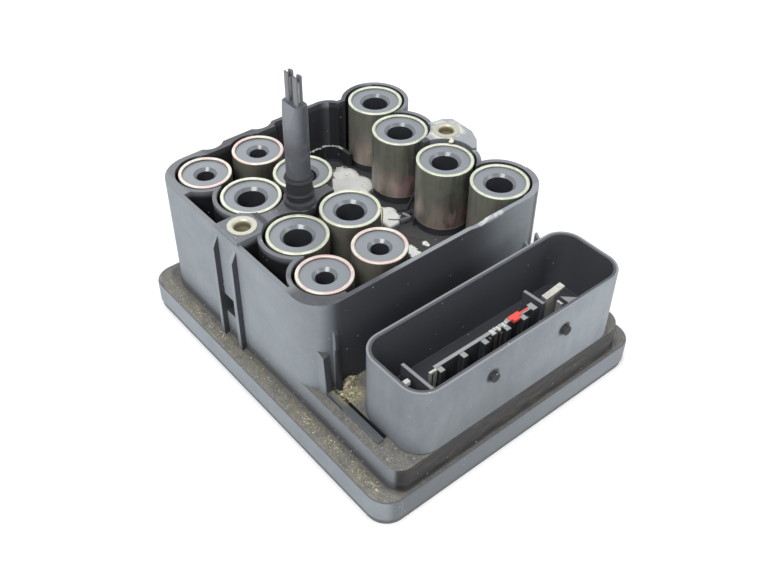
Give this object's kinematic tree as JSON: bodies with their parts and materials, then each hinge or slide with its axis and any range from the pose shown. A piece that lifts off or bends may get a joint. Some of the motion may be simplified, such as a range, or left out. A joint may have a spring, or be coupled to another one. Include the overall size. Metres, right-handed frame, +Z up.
{
  "type": "brake control module with valve coils",
  "caption": "Black plastic brake module on a flanged base: open box of solenoid valve coils, tall motor contact stem and rectangular connector shroud.",
  "frame": {"origin": "centre of the underside of the base cover", "axes": "+Z up out of the coil openings, +X along the connector shroud, +Y from the shroud to the coil box"},
  "size_m": [0.1128, 0.1332, 0.1024],
  "materials": {
    "housing": "satin black, dusty",
    "base_cover": "matt black",
    "circuit_board": "solder mask",
    "coil_can": "yellow chromated zinc plate",
    "coil_bobbin": "matt blue-grey",
    "coil_winding": "enamelled copper wire",
    "contact_metal": "tinned",
    "motor_stem": "satin dark grey",
    "stem_seal": "matt",
    "sleeve": "pale worn plating",
    "silicone": "dull white"
  },
  "bodies": {
    "root": {"housing": "housing", "base_cover": "base_cover", "circuit_board": "circuit_board", "coil_can_01": "coil_can", "coil_bobbin_01": "coil_bobbin", "coil_winding_01": "coil_winding", "coil_can_02": "coil_can", "coil_bobbin_02": "coil_bobbin", "coil_winding_02": "coil_winding", "coil_can_03": "coil_can", "coil_bobbin_03": "coil_bobbin", "coil_winding_03": "coil_winding", "coil_can_04": "coil_can", "coil_bobbin_04": "coil_bobbin", "coil_winding_04": "coil_winding", "coil_can_05": "coil_can", "coil_bobbin_05": "coil_bobbin", "coil_winding_05": "coil_winding", "coil_can_06": "coil_can", "coil_bobbin_06": "coil_bobbin", "coil_winding_06": "coil_winding", "coil_can_07": "coil_can", "coil_bobbin_07": "coil_bobbin", "coil_winding_07": "coil_winding", "coil_can_08": "coil_can", "coil_bobbin_08": "coil_bobbin", "coil_winding_08": "coil_winding", "coil_can_09": "coil_can", "coil_bobbin_09": "coil_bobbin", "coil_winding_09": "coil_winding", "coil_can_10": "coil_can", "coil_bobbin_10": "coil_bobbin", "coil_winding_10": "coil_winding", "coil_can_11": "coil_can", "coil_bobbin_11": "coil_bobbin", "coil_winding_11": "coil_winding", "coil_can_12": "coil_can", "coil_bobbin_12": "coil_bobbin", "coil_winding_12": "coil_winding", "coil_pins": "contact_metal", "motor_stem": "motor_stem", "stem_seal": "stem_seal", "motor_contact_back": "contact_metal", "motor_contact_front": "contact_metal", "sleeve_left": "sleeve", "sleeve_right": "sleeve", "silicone_bead": "silicone", "contact_strips": "contact_metal", "terminal_guide": "housing", "power_blade_left": "contact_metal", "power_blade_right": "contact_metal", "blade_front": "contact_metal", "pin_stubs": "contact_metal"}
  },
  "joints": []
}
